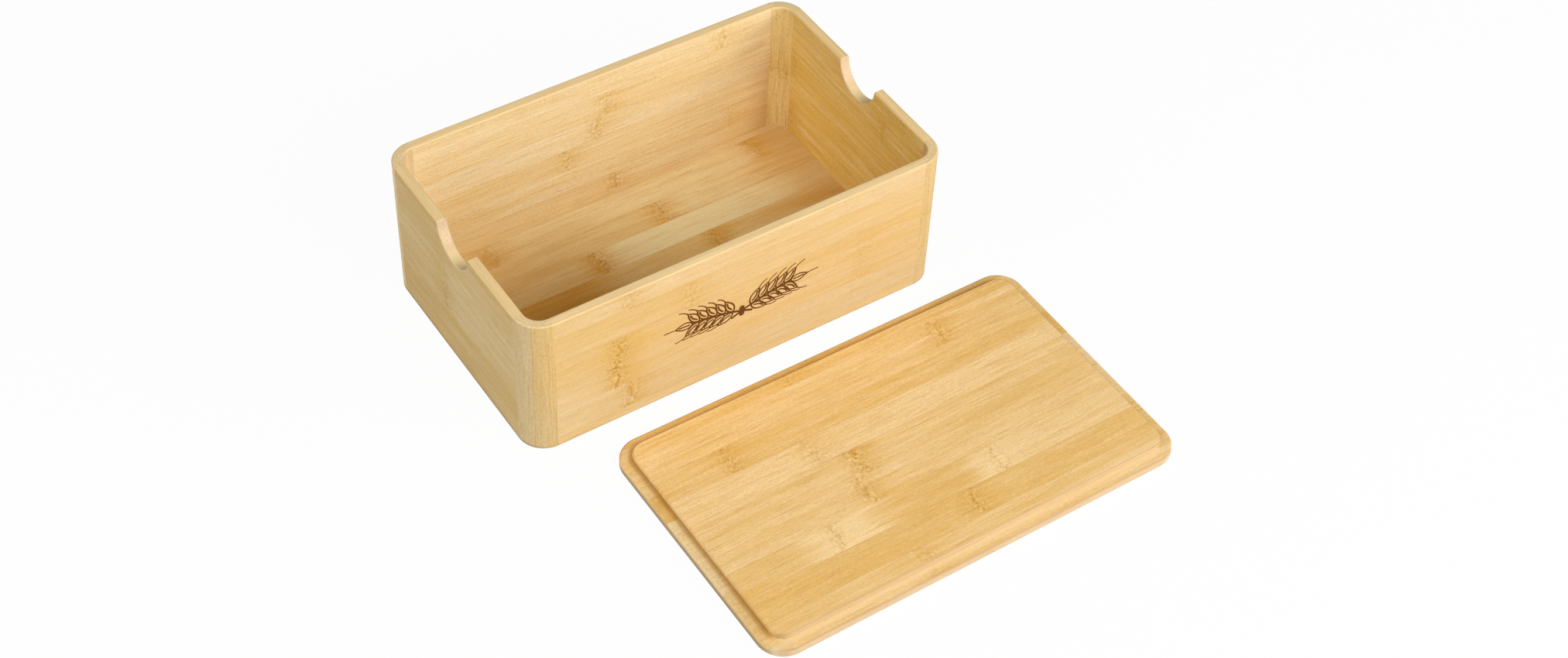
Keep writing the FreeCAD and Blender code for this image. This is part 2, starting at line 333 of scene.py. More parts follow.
# %% Fibres and strips
def bamboo(
    graph, along, across, through, stock, strips, start, width, low, high,
    grain=1.0, streaks=1.0, reach=1.0, sway=0.0, joint_depth=0.10, flecks=1.0,
):
    """Colour, roughness and height of a board.

    along, across and through are the point's distances in the board's three directions.
    stock is its golden and its pale tone.
    strips lists its strips from start on, each width wide; the board runs low..high.
    grain makes its fibres stronger, streaks its broad bands, and reach makes both longer.
    joint_depth is how much darker the glue lines between the strips are.
    sway bends the strips' lines, more towards the low end, by up to so many millimetres.
    flecks is the strength of the light flecks in the knuckles.
    """
    if sway:
        bend = graph.noise(along / 26, start * 0.1, through / 30, detail=2.0) - 0.5
        across = across + bend * (5.0 - graph.step(along, low, high * 0.75) * 4.0) * sway
    strip = (across - start) / width
    row = graph.maths("FLOOR", strip)
    pick = (row + 0.5) / len(strips)
    channels = []
    for stops in strip_ramps(strips, low, high):
        ramp = graph.add("ShaderNodeValToRGB", {"stops": stops}, {0: pick})
        parts = graph.add("ShaderNodeSeparateColor", {}, {0: graph.out(ramp)})
        channels.append({name: graph.out(parts, name) for name in ("Red", "Green", "Blue")})

    run = along / reach + row * ROW_ALONG
    depth = through + row * ROW_DEPTH
    dark, light, halo, tone, near = knuckles_of(
        graph, along, across, depth, row, channels, low, high
    )
    light = light * flecks
    drift = (graph.noise(run / 120, across / 50, depth / 50) - 0.5) * DRIFT
    waver = graph.noise(along / 9, across / 5, depth / 5, detail=1.0) - 0.5
    line = across + drift + waver * (near * WAVER_AT_KNUCKLE + WAVER)
    fibre = graph.noise(run / 42, line * 0.80, depth * 0.80, detail=3.0, roughness=0.66)
    fine = graph.noise(run / 11, line * 1.9, depth * 1.9, detail=1.0)
    streak = graph.noise(run / 100, line * 0.30, depth * 0.30, detail=2.0, roughness=0.6)
    cloud = graph.noise(run / 80, line / 9, depth / 9, detail=2.0, roughness=0.6)
    hair = graph.step(graph.noise(run / 26, line * 1.1, depth * 1.1, detail=1.0), 0.60, 0.70)
    pores = graph.noise(along * 0.44, line * 0.95, depth * 0.95, detail=2.5, roughness=0.7)

    tone = tone + (cloud - 0.5) * (CLOUDS * streaks) + (streak - 0.5) * (STREAKS * streaks)
    colour = graph.mix(tone + halo + light * FLECK_TONE, *stock)
    fibre_tone, knuckle_tone = (
        tuple(np.multiply(stock[0], share).tolist()) for share in (FIBRE, KNUCKLE)
    )
    colour = graph.mix(hair * (HAIRS * grain), colour, fibre_tone)
    ripple = (fibre - 0.5) * (FIBRE_RIPPLE * grain) + (fine - 0.5) * (FINE_RIPPLE * grain)
    ripple = ripple + (pores - 0.5) * (PORE_RIPPLE * grain)
    colour = graph.shade(colour, ripple + light * FLECK_LIGHT + halo * HALO_LIGHT)
    colour = graph.mix(dark, colour, knuckle_tone)

    edge = graph.maths("ABSOLUTE", strip - row - 0.5)
    joint = graph.step(edge * width, width / 2 - JOINT_LOW, width / 2 - JOINT_HIGH)
    colour = graph.shade(colour, joint * -joint_depth)

    roughness = ROUGHNESS + (fibre - 0.5) * FIBRE_ROUGHNESS + dark * KNUCKLE_ROUGHNESS
    height = fibre * 0.030 + fine * 0.010 - hair * 0.020 - joint * 0.040 + dark * 0.035
    return colour, roughness, height


# %% Sawn faces
EDGE_FACING = (0.30, 0.65)  # how squarely a face looks across the strips to show as sawn
EDGE_SHARE, EDGE_LINES = 0.85, 0.60
END_SHARE, END_DOTS = 0.90, 0.70


def sawn_faces(graph, colour, axes, along, across, through, edge, end, arris):
    """The colour where a saw has cut the board: on its long edges and on its ends.

    The surface's own direction tells them apart: an edge faces across the strips and shows fine
    lines, an end faces along them and shows dots, the cut ends of the fibres. On a rounded corner
    between an edge and a face, the arris, both parts of the direction are large.
    """
    facing = [graph.facing(axis) for axis in axes]
    if edge is not None:
        lines = graph.noise(along / 60, across * 0.8, through * 0.75, detail=3.0, roughness=0.6)
        share = graph.step(facing[1], *EDGE_FACING) * EDGE_SHARE
        colour = graph.mix(share, colour, graph.shade(edge, (lines - 0.5) * EDGE_LINES))
    if end is not None:
        dots = graph.noise(along * 0.5, across * 0.9, through * 0.9, detail=2.0, roughness=0.7)
        tone, least, full = end
        share = graph.step(facing[0], least, full) * END_SHARE
        colour = graph.mix(share, colour, graph.shade(tone, (dots - 0.5) * END_DOTS))
    rounded = facing[1] * facing[2] * 2
    return graph.shade(colour, rounded * -arris)


# %% A material from a board
def finish_board(
    name, axes, stock, pattern, edge=None, end=None, arris=0.10, detail=None, **look
):
    """An oiled bamboo material.

    axes are the board's directions along, across and through its strips.
    edge is the tone of its sawn edges. end is that of its sawn ends, with how squarely a face has
    to look along the strips to begin to show it, and to show it in full. arris darkens its arrises.
    detail may change the colour, roughness and height further, at a point in millimetres.
    """
    material = bpy.data.materials.new(name)
    graph = Graph(material)
    place = graph.out(graph.add("ShaderNodeTexCoord"), "Object")
    scaled = graph.add("ShaderNodeVectorMath", {"operation": "SCALE"}, {0: place, "Scale": 1 / MM})
    point = graph.out(scaled)
    along, across, through = (graph.dot(point, axis) for axis in axes)
    colour, roughness, height = bamboo(graph, along, across, through, stock, **pattern, **look)
    colour = sawn_faces(graph, colour, axes, along, across, through, edge, end, arris)
    if detail is not None:
        colour, roughness, height = detail(graph, point, colour, roughness, height)
    bump = graph.add("ShaderNodeBump", {}, {"Strength": 1.0, "Distance": MM, "Height": height})
    shader = graph.add(
        "ShaderNodeBsdfPrincipled",
        {},
        {
            "Base Color": colour,
            "Roughness": roughness,
            "Normal": graph.out(bump),
            "IOR": 1.45,
            "Specular IOR Level": 0.25,
        },
    )
    graph.add("ShaderNodeOutputMaterial", {}, {"Surface": graph.out(shader)})
    print(f"{name}: {len(graph.tree.nodes)} nodes")
    return material


# %% [markdown]
# ## The boards
# Each board is described by the direction its fibres run in and by its strips. A strip reads tone,
# knuckle, tone, knuckle, tone. A tone goes from 0 for golden to 1 for pale, and it changes where
# the strip crosses a knuckle. A knuckle is its place along the board and its strength. A strength
# of 0 leaves the knuckle out and makes the change of tone a slow one. A third value of 1 says that
# the bamboo round the knuckle has bleached.

# %% Directions
X_AXIS, Y_AXIS, Z_AXIS = (1.0, 0.0, 0.0), (0.0, 1.0, 0.0), (0.0, 0.0, 1.0)
DOWN, BACK = (0.0, 0.0, -1.0), (0.0, -1.0, 0.0)
LONG_WALL = (X_AXIS, DOWN, Y_AXIS)
END_WALL = (Y_AXIS, DOWN, X_AXIS)
FLAT = (X_AXIS, BACK, Z_AXIS)

# %% Strips of the four walls
front_strips = {
    "strips": [
        (0.48, (-92, 0.8), 0.64),
        (0.28, (-44, 0.7), 0.42),
        (0.26, (-101, 1.7), 0.27, (98, 0.35), 0.28),
        (0.48, (-103, 1.6), 0.40, (100, 0.35), 0.38),
        (0.58, (-92, 1.2), 0.44, (30, 0.0), 0.55),
        (0.38,),
    ],
    "start": -HEIGHT - 9.0,
    "width": 24.1,
    "low": -HALF_LENGTH,
    "high": HALF_LENGTH,
}
back_strips = {
    "strips": [
        (0.66, (107, 0.8), 0.78),
        (0.62, (7, 0.95), 0.62),
        (0.85, (-2, 0.9), 0.80),
        (0.50, (-28, 0.9), 0.62),
        (0.52, (-100, 0.0), 0.74, (115, 0.5), 0.50),
        (0.62, (14, 1.1), 0.90, (100, 0.0), 0.50),
    ],
    "start": -HEIGHT - 1.5,
    "width": 20.4,
    "low": -HALF_LENGTH,
    "high": HALF_LENGTH,
}
left_strips = {
    "strips": [
        (0.10,),
        (0.50,),
        (0.85, (17, 0.5), 0.70),
        (0.75, (15, 1.0), 0.60),
        (0.42, (20, 0.0), 0.20),
        (0.50, (-30, 0.0), 0.38),
    ],
    "start": -HEIGHT - 18.0,
    "width": 24.0,
    "low": -HALF_WIDTH,
    "high": HALF_WIDTH,
}
right_strips = {
    "strips": [
        (0.35, (-60, 0.7), 0.35),
        (0.22, (-35, 0.7), 0.25),
        (0.18, (78, 0.6), 0.20),
        (0.22, (-58, 0.7), 0.28),
        (0.22, (78, 0.6), 0.24),
        (0.20, (-70, 0.7), 0.20),
    ],
    "start": -HEIGHT - 12.0,
    "width": 24.0,
    "low": -HALF_WIDTH,
    "high": HALF_WIDTH,
}

# %% Strips of the floor and the lid
floor_strips = {
    "strips": [
        (0.60,),
        (0.45, (-103, 0.9), 0.80, (126, 1.0), 0.50),
        (0.50, (29, 1.0), 0.78, (112, 0.0), 0.42),
        (0.48, (-37, 1.5), 0.99, (125, 0.0), 0.62),
        (0.00, (-45, 0.0), 0.43, (49, 1.0), 0.43),
        (0.40, (-80, 0.9), 0.35),
        (0.35, (90, 0.9), 0.38),
        (0.48, (-10, 0.9), 0.42),
        (0.36, (60, 0.9), 0.33),
    ],
    "start": -HALF_WIDTH - 9.9,
    "width": 23.3,
    "low": -HALF_LENGTH,
    "high": HALF_LENGTH,
}
plug_strips = {
    "strips": [
        (0.20, (11, 0.9), 0.20),
        (0.54, (129, 1.1), 0.50),
        (0.24, (-63, 1.1), 0.32),
        (0.88, (-12, 0.7), 0.88),
        (0.58, (12, 1.5), 0.50),
        (0.62, (1, 1.2), 0.62),
        (0.22, (-38, 0.8, 1), 0.20, (94, 0.8, 1), 0.84),
        (0.08, (60, 1.1), 0.12),
        (0.32, (3, 0.7), 0.48),
    ],
    "start": 125.6,
    "width": 23.5,
    "low": lid_low[0],
    "high": lid_high[0],
}
lip_strips = {
    "strips": [
        (0.12, (40, 0.8), 0.08),
        (0.50, (150, 0.8), 0.42),
        (0.60, (-50, 0.8), 0.45),
        (0.05, (90, 0.8), 0.05),
        (1.05, (-60, 0.8), 0.95),
        (1.05, (20, 0.8), 0.92),
        (1.00, (120, 0.8), 0.85),
        (0.50, (-20, 0.8), 0.42),
        (0.40, (170, 0.8), 0.35),
        (0.45, (3, 0.6), 0.38),
    ],
    "start": 112.0,
    "width": 23.5,
    "low": lid_low[0],
    "high": lid_high[0],
}

# %% [markdown]
# ## Where light and shade are painted into the colour
# The lamps alone would leave some places lighter or darker than on the real box, so light and
# shade are painted into the base colour there. The lowest millimetres of the walls and of the lid's
# ends carry a painted contact shadow. The bottom of each hand notch, shaded by the notch's own near
# half, is painted lighter, most at its lowest. The right wall's stock is matched to its inner face
# in shade, and its outer face is mixed back towards an ordinary tone. The far right corner of the
# inside carries a painted shade, and the middle of the floor is painted lighter towards the front.
# The crease between the lid's two steps carries a painted shadow, and a painted highlight runs
# along the lip in front of the plug. Each is a mask over the point's position, or over the way the
# surface faces, and it is mixed in last, over the strips and the fibres.

# %% Tones of those places
# The colour of the painted contact shadow at the foot of the walls, the posts and the lid's ends.
FOOT_SHADOW = (0.300, 0.215, 0.115, 1.0)
# Painted light for the bottom of the hand notches, and more of it for their lowest part.
NOTCH_PAINTED_LIGHT = (0.800, 0.600, 0.260, 1.0)
LOWEST_PAINTED_LIGHT = (0.970, 0.750, 0.400, 1.0)
# An ordinary tone for the right wall's outer face, mixed over a stock that carries painted shade.
OUTER_FACE_TONE = (0.860, 0.560, 0.270, 1.0)
# The colour of the painted shade in the far right corner of the inside.
CORNER_SHADE = (0.360, 0.140, 0.005, 1.0)
# The colour of the painted shadow in the crease between the lid's plug and lip.
CREASE_SHADOW = (0.400, 0.185, 0.012, 1.0)
# The colour of the painted highlight on the lip in front of the plug.
PLUG_FRONT_HIGHLIGHT = (0.860, 0.680, 0.430, 1.0)


# %% The painted contact shadow at the foot of the walls
FOOT_FADE = (1.2, 3.8)
FOOT_AROUND, FOOT_ON_ENDS = 0.20, 0.75


def painted_foot_shadow(graph, point, colour, roughness, height):
    """A painted contact shadow over the lowest 3 mm of a wall, darkest on the two end walls."""
    gone = graph.step(graph.dot(point, Z_AXIS), *FOOT_FADE)
    sideways = graph.facing(X_AXIS)
    share = sideways * sideways * FOOT_ON_ENDS + FOOT_AROUND
    return graph.mix((1 - gone) * share, colour, FOOT_SHADOW), roughness, height


# %% The end walls
NOTCH_FADE = (HEIGHT - 20.0, HEIGHT - 15.0)
NOTCH_FACING = (0.3, 0.7)  # the notch looks along the wall or up, hardly sideways
LOWEST_FACING = (0.80, 1.00)
NOTCH_SHARE, LOWEST_SHARE, OUTER_FACE_SHARE = 0.65, 0.9, 0.45
OUTER_FACE_FADE = (HALF_LENGTH - 4.0, HALF_LENGTH - 2.0)


def end_wall_painted_light(graph, point, colour, roughness, height):
    """Painted light on the bottom of the hand notch, where the notch's near half shades it, most at
    its lowest. The right outer face is mixed back from a stock matched to the shaded inner face.
    The foot gets the painted contact shadow.
    """
    sideways = graph.facing(X_AXIS)
    notch = 1 - graph.step(graph.dot(point, Z_AXIS), *NOTCH_FADE)
    notch = notch * (1 - graph.step(sideways, *NOTCH_FACING))
    # Painted light: the notch's bottom, shaded from the front lamp by its own near half, is mixed
    # lighter.
    colour = graph.mix(notch * NOTCH_SHARE, colour, NOTCH_PAINTED_LIGHT)
    lowest = notch * graph.step(graph.facing(Z_AXIS), *LOWEST_FACING)
    colour = graph.mix(lowest * LOWEST_SHARE, colour, LOWEST_PAINTED_LIGHT)
    # The right stock carries the painted shade of the inner face; the outer face is mixed back from
    # it.
    outer = graph.step(graph.dot(point, X_AXIS), *OUTER_FACE_FADE)
    colour = graph.mix(outer * sideways * OUTER_FACE_SHARE, colour, OUTER_FACE_TONE)
    return painted_foot_shadow(graph, point, colour, roughness, height)


# %% The inside of the box
CORNER_END = 160.0
CORNER_FADE = (60.0, 95.0)  # heights between which the deeper tone ends
FLOOR_LIGHT_MIDDLE, FLOOR_LIGHT_REACH = 40.0, 55.0
FLOOR_LIGHT_FADE = (-20.0, 110.0)
FLOOR_LIGHT_SHARE = 0.27


def painted_corner_shade(start, share):
    """A painted shade in the far right corner of the inside, out of the light:
    deeper from start to the end.
    """

    def detail(graph, point, colour, roughness, height):
        near = graph.step(graph.dot(point, X_AXIS), start, CORNER_END)
        low = 1 - graph.step(graph.dot(point, Z_AXIS), *CORNER_FADE)
        colour = graph.mix(near * low * share, colour, CORNER_SHADE)
        return painted_foot_shadow(graph, point, colour, roughness, height)

    return detail


def floor_painted_light(graph, point, colour, roughness, height):
    """Painted light on the middle of the floor, most towards the front, and a painted shade in its
    right corner.
    """
    # Painted light: the middle of the floor is made lighter, most towards the front.
    near = graph.bell(graph.dot(point, X_AXIS) - FLOOR_LIGHT_MIDDLE, FLOOR_LIGHT_REACH)
    front = 1 - graph.step(graph.dot(point, Y_AXIS), *FLOOR_LIGHT_FADE)
    colour = graph.shade(colour, near * front * FLOOR_LIGHT_SHARE)
    corner = painted_corner_shade(start=98.0, share=0.22)
    return corner(graph, point, colour, roughness, height)


# %% The lid
CREASE_FADE = (1.4, 4.6)
CREASE_RISE = 2.6  # up the plug's side the crease fades so many times as fast
CREASE_SHARE, FAINTER_RIGHT, FAINTER_BACK = 0.62, 0.6, 0.65
FRONT_FADE = 14.0  # the crease comes in so far behind the plug's front
BACK_FADE = (8.0, 1.0)
HIGHLIGHT_OFFSET, HIGHLIGHT_REACH, HIGHLIGHT_SHARE = 2.0, 2.2, 0.55
LIP_FOOT_FADE = (3.5, 6.5)
LIP_FOOT_FACING = (0.7, 1.0)
LIP_FOOT_SHARE = 0.72


def lid_painted_light(graph, point, colour, roughness, height):
    """Painted shade on the lid: a shadow in the crease between plug and lip, a highlight in front
    of the plug, and a contact shadow at the foot of the lip's two ends.

    The distance to the plug's outline is that to a rectangle with round corners. The crease fades
    within 4 mm, on the lip and up the plug's side, and it is faint at the back and on the right.
    """
    x, y, z = (graph.dot(point, axis) for axis in (X_AXIS, Y_AXIS, Z_AXIS))
    beyond = [
        graph.maths("MAXIMUM", graph.maths("ABSOLUTE", value - middle) - (half - PLUG_RADIUS), 0.0)
        for value, middle, half in zip((x, y), plug_middle, plug_half)
    ]
    corner = graph.maths("SQRT", beyond[0] * beyond[0] + beyond[1] * beyond[1])
    outside = graph.maths("MAXIMUM", corner - PLUG_RADIUS, 0.0)
    above = graph.maths("MAXIMUM", z - LIP_TOP, 0.0)
    gone = graph.step(outside + above * CREASE_RISE, *CREASE_FADE)
    behind = graph.step(y, plug_low[1], plug_low[1] + FRONT_FADE)
    right = graph.step(x, plug_middle[0], plug_high[0])
    back = graph.step(y, *(plug_high[1] - fade for fade in BACK_FADE))
    share = (1 - right * FAINTER_RIGHT) * (1 - back * FAINTER_BACK) * CREASE_SHARE
    # A painted shadow in the crease round the plug, faint at the back and on the right.
    colour = graph.mix((1 - gone) * behind * share, colour, CREASE_SHADOW)
    # A painted highlight: a pale line on the lip just in front of the plug, for light at its foot.
    highlight = graph.bell(y - (plug_low[1] - HIGHLIGHT_OFFSET), HIGHLIGHT_REACH)
    colour = graph.mix(highlight * HIGHLIGHT_SHARE, colour, PLUG_FRONT_HIGHLIGHT)
    # A painted contact shadow on the lowest millimetres of the lip's two ends.
    foot = 1 - graph.step(z, *LIP_FOOT_FADE)
    share = foot * graph.step(graph.facing(X_AXIS), *LIP_FOOT_FACING) * LIP_FOOT_SHARE
    return graph.mix(share, colour, FOOT_SHADOW), roughness, height


# %% The four walls, the floor and the lid
WALL_CUTS = {"edge": RIM, "end": NOTCH_FACE}
LID_CUTS = {"arris": 0.30, "detail": lid_painted_light}
board_materials = {
    "back_panel": finish_board(
        "bamboo_back", LONG_WALL, BACK_STOCK, back_strips,
        detail=painted_corner_shade(start=122.0, share=0.45),
        grain=1.5, streaks=0.9, reach=1.4, **WALL_CUTS
    ),
    "left_panel": finish_board(
        "bamboo_left", END_WALL, LEFT_STOCK, left_strips, arris=0.0, detail=end_wall_painted_light,
        grain=1.5, streaks=1.5, **WALL_CUTS
    ),
    "right_panel": finish_board(
        "bamboo_right", END_WALL, RIGHT_STOCK, right_strips, detail=end_wall_painted_light,
        grain=1.6, streaks=1.5, **WALL_CUTS
    ),
    "floor_panel": finish_board(
        "bamboo_floor", FLAT, FLOOR_STOCK, floor_strips, detail=floor_painted_light,
        streaks=0.6, flecks=0.35
    ),
    "lid_lip_board": finish_board(
        "bamboo_lip", FLAT, LIP_STOCK, lip_strips, edge=LID_EDGE, end=LIP_END,
        grain=1.5, **LID_CUTS
    ),
    "lid_plug_panel": finish_board(
        "bamboo_plug", FLAT, LID_STOCK, plug_strips, edge=PLUG_EDGE,
        grain=1.5, streaks=1.3, **LID_CUTS
    ),
}


# %% [markdown]
# ## Corner posts
# A post is milled from an upright block, so its fibres run up the corner and are cut at a slant:
# they show as thin lines, crowded and dark. Each block is glued from two strips whose joint runs up
# the corner's diagonal. The strips were never quite straight, so the lines wander near the foot.

# %% The posts
POST_STRIP = 20.0
FRONT_POST_STOCK = ((0.665, 0.440, 0.165, 1.0), (0.625, 0.465, 0.235, 1.0))
LEFT_POST_STOCK = ((0.740, 0.510, 0.235, 1.0), (0.800, 0.610, 0.355, 1.0))
RIGHT_POST_STOCK = ((0.760, 0.520, 0.170, 1.0), (0.850, 0.660, 0.320, 1.0))
FRONT_SWAY, BACK_SWAY = 1.3, 0.4
POSTS = {
    "corner_post_front_left": (FRONT_POST_STOCK, (1.0,), (0.62, (48, 0.0), 0.18), 0.22),
    "corner_post_front_right": (FRONT_POST_STOCK, (0.35, (70, 0.7), 0.45), (0.55,), 0.20),
    "corner_post_back_left": (LEFT_POST_STOCK, (0.60,), (0.40, (64, 0.7), 0.50), 0.15),
    "corner_post_back_right": (
        RIGHT_POST_STOCK, (0.60, (58, 0.9), 0.45), (0.40, (62, 0.7), 0.40), 0.15
    ),
}


def post_material(node):
    """Two upright strips that meet on the corner's diagonal; their lines sway to the foot."""
    middle = sum(corners_of(node)) / 2
    outward = np.sign(middle[:2]) / math.sqrt(2)
    across = (float(-outward[1]), float(outward[0]), 0.0)
    through = (float(outward[0]), float(outward[1]), 0.0)
    stock, first, second, joint_depth = POSTS[node]
    pattern = {
        "strips": [first, second],
        "start": float(np.dot(middle[:2], across[:2])) - POST_STRIP,
        "width": POST_STRIP,
        "low": 0.0,
        "high": HEIGHT,
    }
    return finish_board(
        f"bamboo_{node}", (Z_AXIS, across, through), stock, pattern,
        end=POST_TOP, arris=0.0, detail=painted_foot_shadow, grain=2.0, streaks=0.9, reach=1.6,
        joint_depth=joint_depth, sway=FRONT_SWAY if middle[1] < 0 else BACK_SWAY
    )


for name in POSTS:
    board_materials[name] = post_material(name)

# %% Put the finishes on the CAD nodes
for name, material in board_materials.items():
    nodes[name].material_slots[0].material = material
print("finished", len(board_materials), "nodes")

# %% [markdown]
# ## The burnt motif
# The front panel carries a motif burnt in by a laser: thin scorched grooves. It could be painted by
# a material alone, but a groove catches the light at its edges, so the face of the panel is made
# again as a surface with the grooves sunk into it, and an attribute tells the material how scorched
# each point is. The motif is two ears of wheat, tied at the middle.


# %% Curves of the motif
MOTIF_MIDDLE = (-2.0, 58.0)
KERNEL_PAIRS = 5
KERNEL_LENGTH = 14.0
KERNEL_WIDTH = 6.2
KERNEL_SPREAD = math.radians(44)
AWN_LENGTH = 9.0


def stem_point(t):
    """The stem, a quadratic curve from beyond the tie out to the tip of the ear."""
    start, knee, tip = np.array([[-8.0, -6.5], [18.0, 4.5], [42.0, 5.5]])
    t = np.asarray(t)[..., None]
    return (1 - t) ** 2 * start + 2 * t * (1 - t) * knee + t**2 * tip


def stem_direction(t):
    """The unit tangent of the stem, from a short chord."""
    chord = stem_point(t + 0.005) - stem_point(t - 0.005)
    return chord / np.linalg.norm(chord, axis=-1, keepdims=True)


def turned(vector, angle):
    """A plane vector turned anticlockwise."""
    c, s = math.cos(angle), math.sin(angle)
    return np.array([c * vector[0] - s * vector[1], s * vector[0] + c * vector[1]])


def kernel_outline(foot, direction):
    """A grain of wheat: its half-width is a sine along its length, fuller towards the foot."""
    s = np.linspace(0, 1, 17)
    half = KERNEL_WIDTH / 2 * np.sin(math.pi * s**0.8) ** 0.9
    side = np.array([-direction[1], direction[0]])
    upper = foot + np.outer(s * KERNEL_LENGTH, direction) + np.outer(half, side)
    lower = foot + np.outer(s * KERNEL_LENGTH, direction) - np.outer(half, side)
    return np.vstack([upper, lower[::-1]])


def kernel_lines(foot, direction, side, stem):
    """One grain: (points, line width) of its outline, its bowed crease and its awn."""
    u = np.linspace(0, 1, 9)[:, None]
    bow = np.array([-direction[1], direction[0]]) * -side
    crease = direction * (0.20 + 0.58 * u) * KERNEL_LENGTH + bow * 0.9 * np.sin(math.pi * u)
    tip = foot + KERNEL_LENGTH * direction
    awn = tip + u * AWN_LENGTH * (direction * (1 - 0.45 * u) + stem * 0.45 * u)
    return [(kernel_outline(foot, direction), 1.2), (foot + crease, 1.3), (awn, 0.9)]


def motif_lines():
    """Both ears, the left one mirrored, and the tie that holds their stems."""
    ear = [(stem_point(np.linspace(0, 0.97, 30)), 1.9)]
    for t in np.linspace(0.30, 0.86, KERNEL_PAIRS):
        stem = stem_direction(t)
        for side in (1, -1):
            foot = stem_point(t) + turned(stem, side * math.pi / 2) * 0.8
            ear += kernel_lines(foot, turned(stem, side * KERNEL_SPREAD), side, stem)
    tip = stem_direction(0.965)
    ear += kernel_lines(stem_point(np.array(0.965)), tip, 0, tip)
    mirrored = [(points * (-1, 1), width) for points, width in ear]
    tie = (np.array([[0.0, -6.0], [0.0, -0.4]]), 4.4)
    return [(points + MOTIF_MIDDLE, width) for points, width in (*ear, *mirrored, tie)]


lines = motif_lines()
everything = np.vstack([points for points, _ in lines])
MOTIF_LOW, MOTIF_HIGH = everything.min(0) - 2.0, everything.max(0) + 2.0
print(len(lines), "lines, from", MOTIF_LOW.round(1), "to", MOTIF_HIGH.round(1))


# %% How scorched each point of the face is
def scorch(x, z):
    """Depth of burn, 0 to 1, on a grid of points.

    For each line it is 1 inside half its width and falls smoothly to 0 beyond, where the distance
    is that to the nearest stretch of the line. Only the points near a line are worked out.
    """
    burn = np.zeros(np.broadcast(x, z).shape)
    soft = 0.35
    for points, width in lines:
        reach = width / 2 + soft
        near_x = (x >= points[:, 0].min() - reach) & (x <= points[:, 0].max() + reach)
        near_z = (z >= points[:, 1].min() - reach) & (z <= points[:, 1].max() + reach)
        rows, columns = np.nonzero(near_x & near_z)
        if not len(rows):
            continue
        place = np.column_stack([x[rows, columns], z[rows, columns]])[:, None]
        start, step = points[None, :-1], np.diff(points, axis=0)[None]
        share = ((place - start) * step).sum(-1) / (step**2).sum(-1)
        nearest = start + np.clip(share, 0, 1)[..., None] * step
        distance = np.linalg.norm(place - nearest, axis=-1).min(1)
        level = np.clip((reach - distance) / (2 * soft), 0, 1)
        level = level * level * (3 - 2 * level)
        burn[rows, columns] = np.maximum(burn[rows, columns], level)
    return burn


# %% [markdown]
# ## The front panel as a skin
# The panel is its section carried along X: foot bevel, outer face, rounded rim, inner face, rebate.
# Stations and face points are close together over the motif and far apart elsewhere, so that the
# grooves are crisp without spending faces on plain board.


# %% Section and stations
def spaced(low, high, fine_low, fine_high, fine, coarse):
    """Points from low to high: fine apart inside the fine stretch, coarse apart outside it."""
    before = np.linspace(low, fine_low, max(2, round((fine_low - low) / coarse)), endpoint=False)
    middle = np.linspace(fine_low, fine_high, round((fine_high - fine_low) / fine), endpoint=False)
    after = np.linspace(fine_high, high, max(2, round((high - fine_high) / coarse)))
    return np.concatenate([before, middle, after])


def quarter(middle, radius, start, end, count=7):
    """An arc of the section, angles in degrees."""
    angle = np.radians(np.linspace(start, end, count))
    return np.column_stack([middle[0] + radius * np.cos(angle), middle[1] + radius * np.sin(angle)])


def panel_section(face_heights):
    """The closed section as (inset from the outer face, height), starting up the outer face."""
    face = np.column_stack([np.zeros_like(face_heights), face_heights])
    shoulder = HEIGHT - RIM_ROUND
    outer = quarter((RIM_ROUND, shoulder), RIM_ROUND, 180, 90)
    inner = quarter((WALL - RIM_ROUND, shoulder), RIM_ROUND, 90, 0)
    back = np.array([
        [WALL, shoulder - 0.3],
        [WALL, FLOOR],
        [WALL - FLOOR_BEARING, FLOOR],
        [WALL - FLOOR_BEARING, 0],
        [FOOT_BEVEL, 0],
    ])
    return np.vstack([face, outer[1:], inner, back])


FINE = 0.28
COARSE = 12.0
shoulder_x = HALF_LENGTH - CORNER_RADIUS
stations = spaced(-shoulder_x, shoulder_x, MOTIF_LOW[0], MOTIF_HIGH[0], FINE, COARSE)
heights = spaced(FOOT_BEVEL, HEIGHT - RIM_ROUND - 0.3, MOTIF_LOW[1], MOTIF_HIGH[1], FINE, COARSE)
heights = np.append(heights, HEIGHT - RIM_ROUND)
section = panel_section(heights)
print(len(stations), "stations of", len(section), "points")


